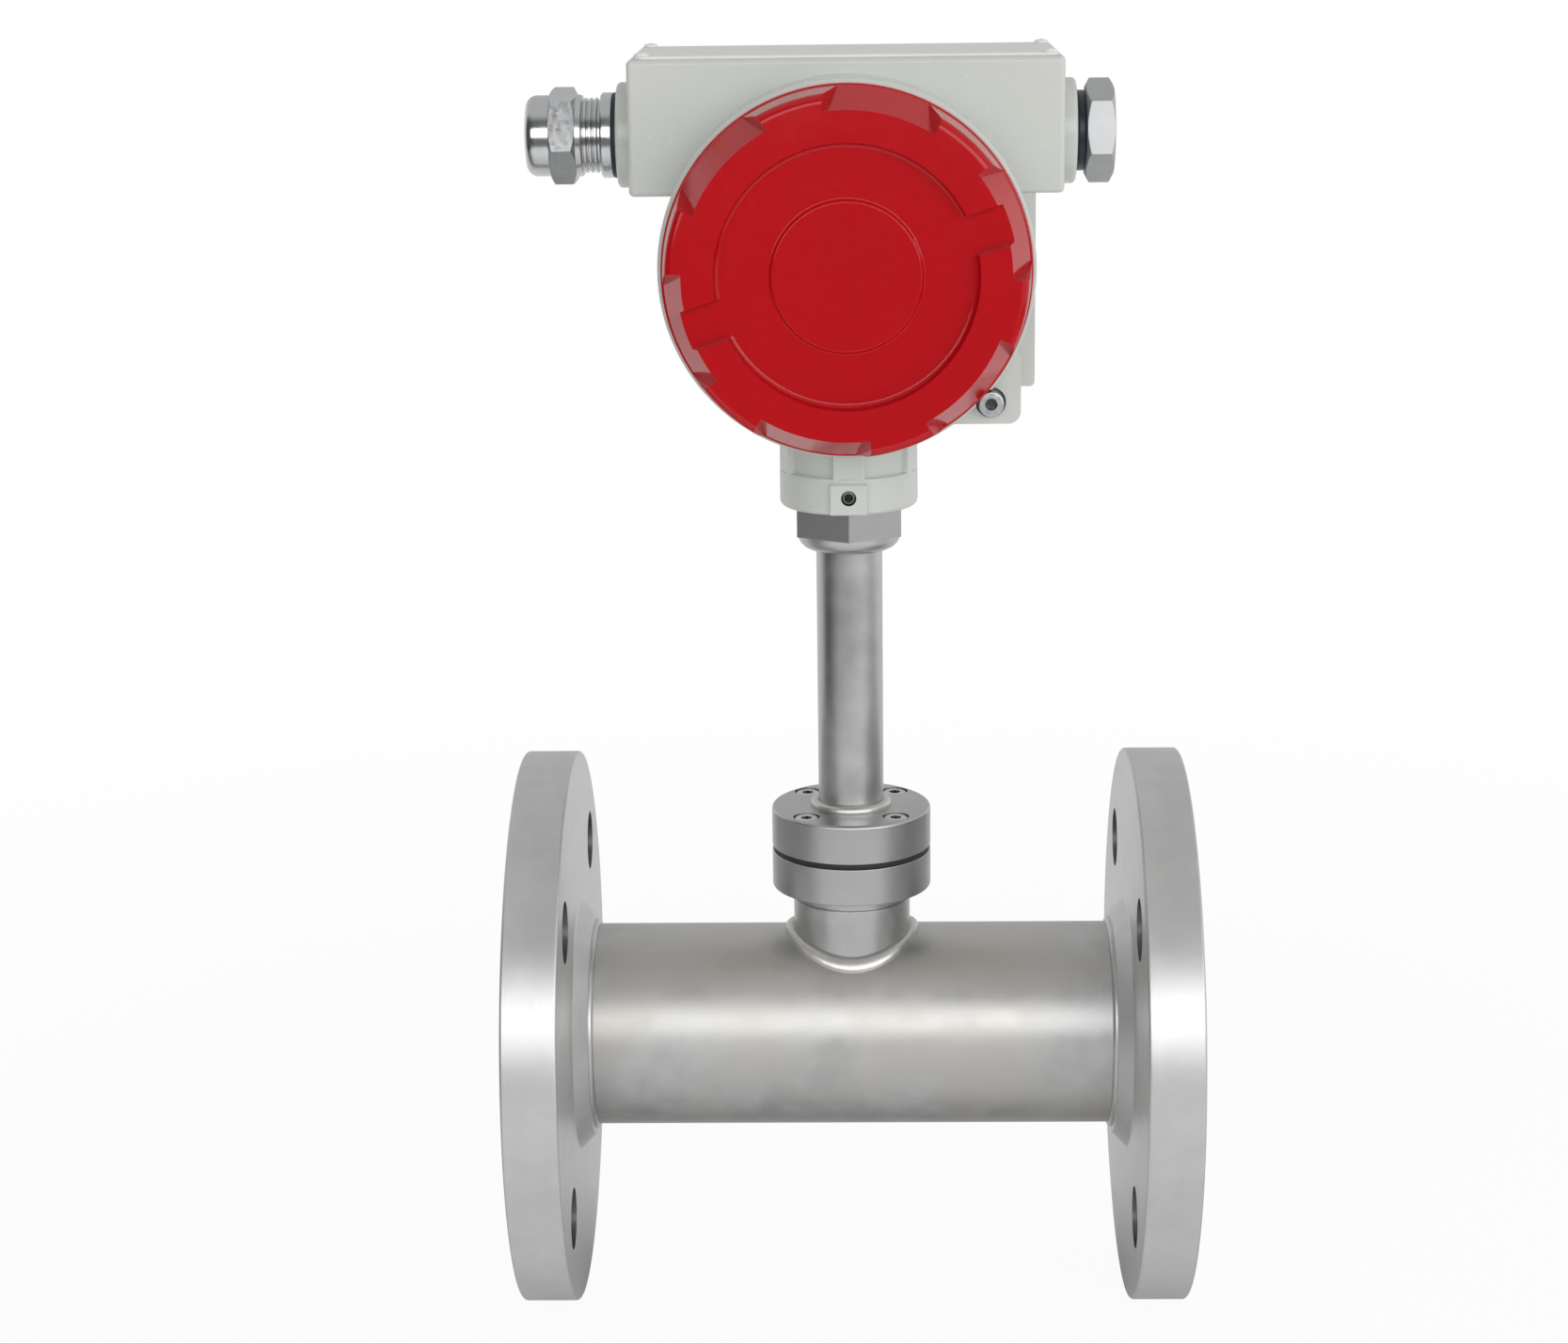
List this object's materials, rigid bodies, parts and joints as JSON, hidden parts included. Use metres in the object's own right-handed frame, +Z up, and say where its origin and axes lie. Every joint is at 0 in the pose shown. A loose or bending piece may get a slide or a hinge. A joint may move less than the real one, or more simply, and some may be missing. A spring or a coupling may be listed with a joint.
{
  "type": "thermal mass flow meter",
  "caption": "Inline gas flow meter: flanged pipe spool with a bolted thermal sensor insert, a stem and a swivelling two-compartment housing with screw-on covers.",
  "frame": {"origin": "centre of the inlet flange's raised sealing face, on the pipe's axis", "axes": "+X along the pipe in the flow direction, from the inlet face to the outlet face; +Z up along the stem; the front cover faces -Y"},
  "size_m": [0.2, 0.165, 0.3729],
  "materials": {
    "pipe_steel": "pickled and bead blasted satin",
    "flange_steel": "turned and bead blasted satin",
    "weld_bead": "bright cleaned weld",
    "branch_steel": "satin",
    "sensor_flange_steel": "turned, satin",
    "stem_steel": "satin tube",
    "adapter_steel": "turned and milled",
    "screw_steel": "bright",
    "set_screw_steel": "black oxide",
    "probe_steel": "drawn and polished",
    "seal_rubber": "matt black",
    "cable_sheath": "matt black sheath",
    "connector_white": "matt",
    "housing_paint": "glossy powder coat, pale grey",
    "plate_steel": "fine brushed",
    "cover_paint": "glossy red powder coat",
    "window_clear": "clear toughened glass",
    "ring_black": "black anodised",
    "gland_nickel": "nickel plated",
    "plug_nickel": "satin nickel",
    "brass_parts": "plain brass",
    "board_green": "solder mask",
    "terminal_green": "moulded",
    "component_black": "moulded",
    "display_grey": "glass over a grey-green field",
    "bezel_black": "fine texture",
    "key_grey": "silicone"
  },
  "bodies": {
    "spool": {"flow_pipe": "pipe_steel", "inlet_flange": "flange_steel", "outlet_flange": "flange_steel", "flange_welds": "weld_bead", "branch_stub": "branch_steel", "branch_weld": "weld_bead", "lower_sensor_flange": "sensor_flange_steel", "sensor_gasket": "seal_rubber", "upper_sensor_flange": "sensor_flange_steel", "sensor_flange_screws": "screw_steel", "stem_tube": "stem_steel", "stem_weld": "weld_bead", "hex_adapter": "adapter_steel", "sensor_body": "probe_steel", "sensor_o_ring": "seal_rubber", "heated_probe": "probe_steel", "reference_probe": "probe_steel", "probe_guard": "probe_steel", "sensor_cable": "cable_sheath", "sensor_plug": "connector_white"},
    "housing": {"housing_body": "housing_paint", "neck_set_screw": "set_screw_steel", "cover_lock_screws": "screw_steel", "nameplate": "plate_steel", "nameplate_rivets": "plate_steel", "gland_washer": "seal_rubber", "gland_body": "gland_nickel", "gland_seal": "seal_rubber", "terminal_board": "board_green", "terminal_standoffs": "brass_parts", "terminal_board_screws": "screw_steel", "terminal_block": "terminal_green", "terminal_screws": "screw_steel", "earth_screw": "brass_parts", "sensor_lead": "cable_sheath", "lead_feedthrough": "seal_rubber", "power_board": "board_green", "power_standoffs": "brass_parts", "board_components": "component_black", "display_board": "board_green", "display_standoffs": "brass_parts", "lcd_module": "display_grey", "display_bezel": "bezel_black", "bezel_screws": "screw_steel", "key_switches": "component_black"},
    "front_cover_seat": {"front_cover_o_ring": "seal_rubber"},
    "front_cover": {"front_cover": "cover_paint"},
    "rear_cover_seat": {"rear_cover_o_ring": "seal_rubber"},
    "rear_cover": {"rear_cover": "cover_paint", "window_glass": "window_clear", "window_gasket": "seal_rubber", "window_ring": "ring_black"},
    "gland_nut_seat": {"gland_slip_washer": "brass_parts"},
    "gland_nut": {"gland_nut": "gland_nickel"},
    "plug_seat": {"plug_o_ring": "seal_rubber"},
    "blanking_plug": {"blanking_plug": "plug_nickel"},
    "key_left": {"key_left": "key_grey"},
    "key_middle": {"key_middle": "key_grey"},
    "key_right": {"key_right": "key_grey"}
  },
  "joints": [
    {"name": "housing_swivel", "type": "hinge", "parent": "spool", "child": "housing", "pos_m": [0.1, 0, 0.16], "axis": [0, 0, 1], "range_deg": [-175, 175]},
    {"name": "front_cover_travel", "type": "slide", "parent": "housing", "child": "front_cover_seat", "axis": [0, -1, 0], "range_m": [0, 0.013]},
    {"name": "front_cover_turn", "type": "hinge", "parent": "front_cover_seat", "child": "front_cover", "pos_m": [0.1, -0.045, 0.233], "axis": [0, -1, 0], "range_deg": [0, 2340]},
    {"name": "rear_cover_travel", "type": "slide", "parent": "housing", "child": "rear_cover_seat", "axis": [0, 1, 0], "range_m": [0, 0.013]},
    {"name": "rear_cover_turn", "type": "hinge", "parent": "rear_cover_seat", "child": "rear_cover", "pos_m": [0.1, 0.045, 0.233], "axis": [0, 1, 0], "range_deg": [0, 2340]},
    {"name": "gland_nut_travel", "type": "slide", "parent": "housing", "child": "gland_nut_seat", "axis": [-1, 0, 0], "range_m": [0, 0.006]},
    {"name": "gland_nut_turn", "type": "hinge", "parent": "gland_nut_seat", "child": "gland_nut", "pos_m": [0.0357, 0, 0.2662], "axis": [-1, 0, 0], "range_deg": [0, 1440]},
    {"name": "plug_travel", "type": "slide", "parent": "housing", "child": "plug_seat", "axis": [1, 0, 0], "range_m": [0, 0.0105]},
    {"name": "plug_turn", "type": "hinge", "parent": "plug_seat", "child": "blanking_plug", "pos_m": [0.1643, 0, 0.2662], "axis": [1, 0, 0], "range_deg": [0, 2520]},
    {"name": "key_left_press", "type": "slide", "parent": "housing", "child": "key_left", "axis": [0, -1, 0], "range_m": [0, 0.0006], "stiffness_N_per_m": 900, "springref_m": -0.0004},
    {"name": "key_middle_press", "type": "slide", "parent": "housing", "child": "key_middle", "axis": [0, -1, 0], "range_m": [0, 0.0006], "stiffness_N_per_m": 900, "springref_m": -0.0004},
    {"name": "key_right_press", "type": "slide", "parent": "housing", "child": "key_right", "axis": [0, -1, 0], "range_m": [0, 0.0006], "stiffness_N_per_m": 900, "springref_m": -0.0004}
  ],
  "couplings": [
    {"joint": "front_cover_turn", "follows": "front_cover_travel", "rad_per_m": 3141.6},
    {"joint": "rear_cover_turn", "follows": "rear_cover_travel", "rad_per_m": 3141.6},
    {"joint": "gland_nut_turn", "follows": "gland_nut_travel", "rad_per_m": 4188.8},
    {"joint": "plug_turn", "follows": "plug_travel", "rad_per_m": 4188.8}
  ]
}
